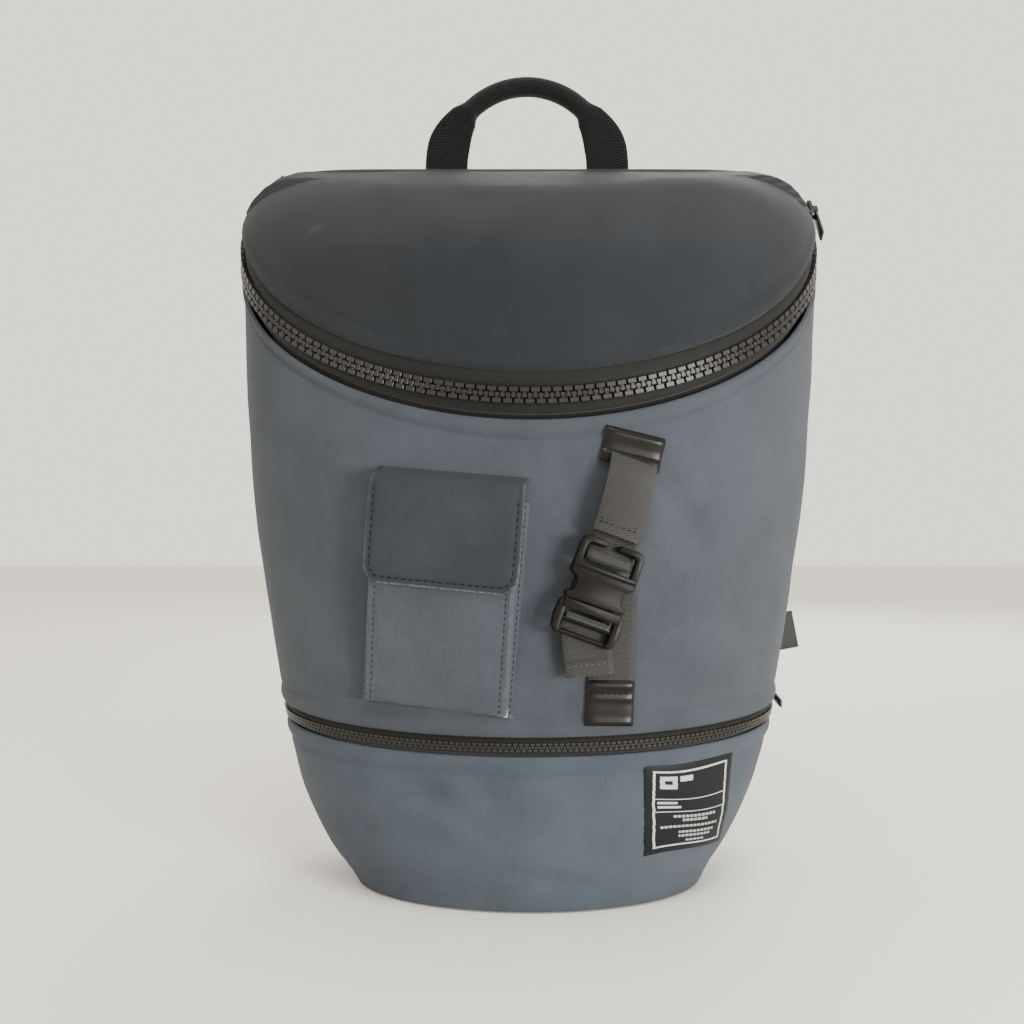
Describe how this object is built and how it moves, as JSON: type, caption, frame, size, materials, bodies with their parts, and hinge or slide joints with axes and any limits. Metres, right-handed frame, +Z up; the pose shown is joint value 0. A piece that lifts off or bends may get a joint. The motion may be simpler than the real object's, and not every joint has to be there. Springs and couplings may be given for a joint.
{
  "type": "backpack",
  "caption": "Bucket-shaped waxed-canvas day backpack with a slanted zip lid, zipped base compartment, bellows cargo pocket and side-release buckle strap.",
  "frame": {"origin": "middle of the base that the bag stands on", "axes": "+Z up along the back, -Y towards the front with the pocket, +X to the right of a viewer who faces the front"},
  "size_m": [0.3592, 0.2079, 0.5115],
  "materials": {
    "canvas": "waxed navy canvas",
    "lining": "plain polyester lining",
    "back_mesh": "black spacer mesh",
    "webbing": "black ribbed webbing",
    "anchor_tape": "shiny black grosgrain",
    "zip_tape": "black woven tape",
    "zip_teeth": "moulded acetal",
    "zip_metal": "black painted zinc",
    "buckle_plastic": "matte black-brown acetal",
    "label": "woven patch with pale lines",
    "magnet_steel": "covered magnet disc",
    "handle_core": "foam cord core"
  },
  "bodies": {
    "root": {"body_canvas": "canvas", "base_canvas": "canvas", "pocket_body": "canvas", "bottom_panel": "canvas", "body_lining": "lining", "compartment_floor": "lining", "laptop_sleeve": "lining", "back_panel": "back_mesh", "back_pad_left": "back_mesh", "back_pad_right": "back_mesh", "lumbar_pad": "back_mesh", "wing_left": "back_mesh", "wing_right": "back_mesh", "lower_webbing": "webbing", "handle_anchors": "webbing", "strap_webbing_left": "webbing", "strap_webbing_right": "webbing", "strap_yoke": "webbing", "upper_anchor": "anchor_tape", "lower_anchor": "anchor_tape", "back_binding": "anchor_tape", "sleeve_binding": "anchor_tape", "main_zip_tape_lower": "zip_tape", "lower_zip_tape_lower": "zip_tape", "lower_zip_tape_upper": "zip_tape", "main_zip_teeth_lower": "zip_teeth", "lower_zip_teeth_lower": "zip_teeth", "lower_zip_teeth_upper": "zip_teeth", "label_patch": "label", "pocket_magnet": "magnet_steel"},
    "lid": {"lid_canvas": "canvas", "lid_lining": "lining", "main_zip_tape_upper": "zip_tape", "main_zip_teeth_upper": "zip_teeth"},
    "pocket_flap": {"pocket_flap": "canvas", "flap_magnet": "magnet_steel"},
    "upper_webbing": {"upper_webbing": "webbing"},
    "buckle_socket": {"buckle_socket": "buckle_plastic"},
    "buckle_plug": {"buckle_plug": "buckle_plastic", "strap_tail": "webbing"},
    "prong_left": {"prong_left": "buckle_plastic"},
    "prong_right": {"prong_right": "buckle_plastic"},
    "main_zip_slider": {"main_zip_slider": "zip_metal"},
    "main_zip_pull": {"main_zip_pull": "zip_metal"},
    "lower_zip_slider": {"lower_zip_slider": "zip_metal"},
    "lower_zip_pull": {"lower_zip_pull": "zip_metal"},
    "handle": {"handle_webbing": "webbing", "handle_core": "handle_core"},
    "shoulder_strap_left": {"shoulder_pad_left": "back_mesh", "lock_loop_left": "webbing"},
    "shoulder_strap_right": {"shoulder_pad_right": "back_mesh", "lock_loop_right": "webbing"},
    "ladder_lock_left": {"ladder_lock_left": "buckle_plastic", "webbing_tail_left": "webbing"},
    "ladder_lock_right": {"ladder_lock_right": "buckle_plastic", "webbing_tail_right": "webbing"}
  },
  "joints": [
    {"name": "lid_hinge", "type": "hinge", "parent": "root", "child": "lid", "pos_m": [0, 0.066, 0.446], "axis": [-1, 0, 0], "range_deg": [0, 105]},
    {"name": "flap_hinge", "type": "hinge", "parent": "root", "child": "pocket_flap", "pos_m": [-0.04286, -0.09131, 0.23643], "axis": [-0.9853, 0.147, 0.0869], "range_deg": [0, 130]},
    {"name": "webbing_hinge", "type": "hinge", "parent": "root", "child": "upper_webbing", "pos_m": [0.05154, -0.08735, 0.24189], "axis": [-0.9654, -0.1352, 0.2229], "range_deg": [0, 75]},
    {"name": "socket_tilt", "type": "hinge", "parent": "upper_webbing", "child": "buckle_socket", "pos_m": [0.04, -0.09363, 0.19496], "axis": [-0.9317, -0.1304, 0.3391], "range_deg": [0, 20]},
    {"name": "buckle_release", "type": "slide", "parent": "buckle_socket", "child": "buckle_plug", "axis": [-0.3358, -0.047, -0.9408], "range_m": [0, 0.024]},
    {"name": "prong_left_squeeze", "type": "hinge", "parent": "buckle_plug", "child": "prong_left", "pos_m": [0.02182, -0.09618, 0.17235], "axis": [-0.1386, 0.9903, 0], "range_deg": [0, 7], "stiffness_Nm_per_rad": 0.05},
    {"name": "prong_right_squeeze", "type": "hinge", "parent": "buckle_plug", "child": "prong_right", "pos_m": [0.03971, -0.09367, 0.16584], "axis": [0.1386, -0.9903, 0], "range_deg": [0, 7], "stiffness_Nm_per_rad": 0.05},
    {"name": "main_zip_travel", "type": "slide", "parent": "root", "child": "main_zip_slider", "axis": [-0.0098, -0.6781, -0.7349], "range_m": [0, 0.03]},
    {"name": "main_pull_hinge", "type": "hinge", "parent": "main_zip_slider", "child": "main_zip_pull", "pos_m": [0.17994, 0.031, 0.40807], "axis": [0, -0.7349, 0.6782], "range_deg": [0, 165]},
    {"name": "lower_zip_travel", "type": "slide", "parent": "root", "child": "lower_zip_slider", "axis": [-0.0174, -0.9944, -0.1045], "range_m": [0, 0.021]},
    {"name": "lower_pull_hinge", "type": "hinge", "parent": "lower_zip_slider", "child": "lower_zip_pull", "pos_m": [0.15285, 0.031, 0.10688], "axis": [0, -0.1045, 0.9945], "range_deg": [0, 165]},
    {"name": "handle_hinge", "type": "hinge", "parent": "root", "child": "handle", "pos_m": [0, 0.075, 0.44], "axis": [-1, 0, 0], "range_deg": [0, 80], "stiffness_Nm_per_rad": 0.03},
    {"name": "strap_left_swing", "type": "hinge", "parent": "root", "child": "shoulder_strap_left", "pos_m": [0, 0.078, 0.428], "axis": [1, 0, 0], "range_deg": [0, 35]},
    {"name": "lock_left_tilt", "type": "hinge", "parent": "shoulder_strap_left", "child": "ladder_lock_left", "pos_m": [-0.0885, 0.085, 0.14575], "axis": [1, 0, 0], "range_deg": [0, 35]},
    {"name": "strap_right_swing", "type": "hinge", "parent": "root", "child": "shoulder_strap_right", "pos_m": [0, 0.078, 0.428], "axis": [1, 0, 0], "range_deg": [0, 35]},
    {"name": "lock_right_tilt", "type": "hinge", "parent": "shoulder_strap_right", "child": "ladder_lock_right", "pos_m": [0.0885, 0.085, 0.14575], "axis": [1, 0, 0], "range_deg": [0, 35]}
  ]
}
